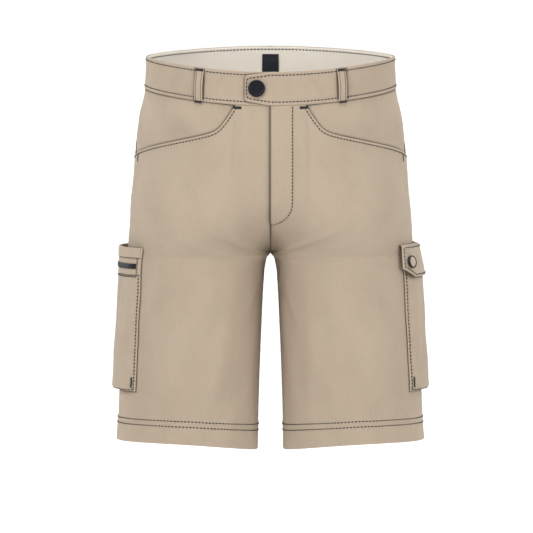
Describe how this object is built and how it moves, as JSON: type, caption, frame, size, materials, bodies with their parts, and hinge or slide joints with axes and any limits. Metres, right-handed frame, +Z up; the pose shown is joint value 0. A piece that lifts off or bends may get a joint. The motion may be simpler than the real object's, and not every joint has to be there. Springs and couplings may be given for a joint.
{
  "type": "cargo shorts",
  "caption": "Twill cargo shorts filled out as when worn, with a shaped waistband, button tab, slanted hand pockets, a tool pocket and a flap pocket on the legs.",
  "frame": {"origin": "middle of the waist at half the waistband's height, where the wearer's waist holds the shorts up", "axes": "+Z up along the legs towards the waist, -Y towards the front, +X towards the wearer's left"},
  "size_m": [0.4124, 0.2628, 0.5234],
  "materials": {
    "twill": "matt sand cotton twill",
    "facing": "matt light cotton",
    "label": "dark woven label, bare",
    "webbing": "dark narrow webbing, bare",
    "thread": "dark sewing thread",
    "waist_button": "dark satin button",
    "flap_button": "sand coloured snap cap"
  },
  "bodies": {
    "root": {"front_panel_right": "twill", "front_panel_left": "twill", "back_panel_right": "twill", "back_panel_left": "twill", "hand_pocket_facing_right": "twill", "hand_pocket_facing_left": "twill", "waistband_right": "twill", "waistband_left": "twill", "waistband_facing": "facing", "waist_label": "label", "belt_loop_front_right": "twill", "belt_loop_front_left": "twill", "belt_loop_back_right": "twill", "belt_loop_back_left": "twill", "belt_loop_centre_back": "twill", "tool_pocket": "twill", "tool_pocket_hem": "twill", "tool_pocket_strap": "webbing", "flap_pocket": "twill", "flap_pocket_flap": "twill", "waist_button": "waist_button", "flap_button_front": "flap_button", "flap_button_back": "flap_button"}
  },
  "joints": []
}
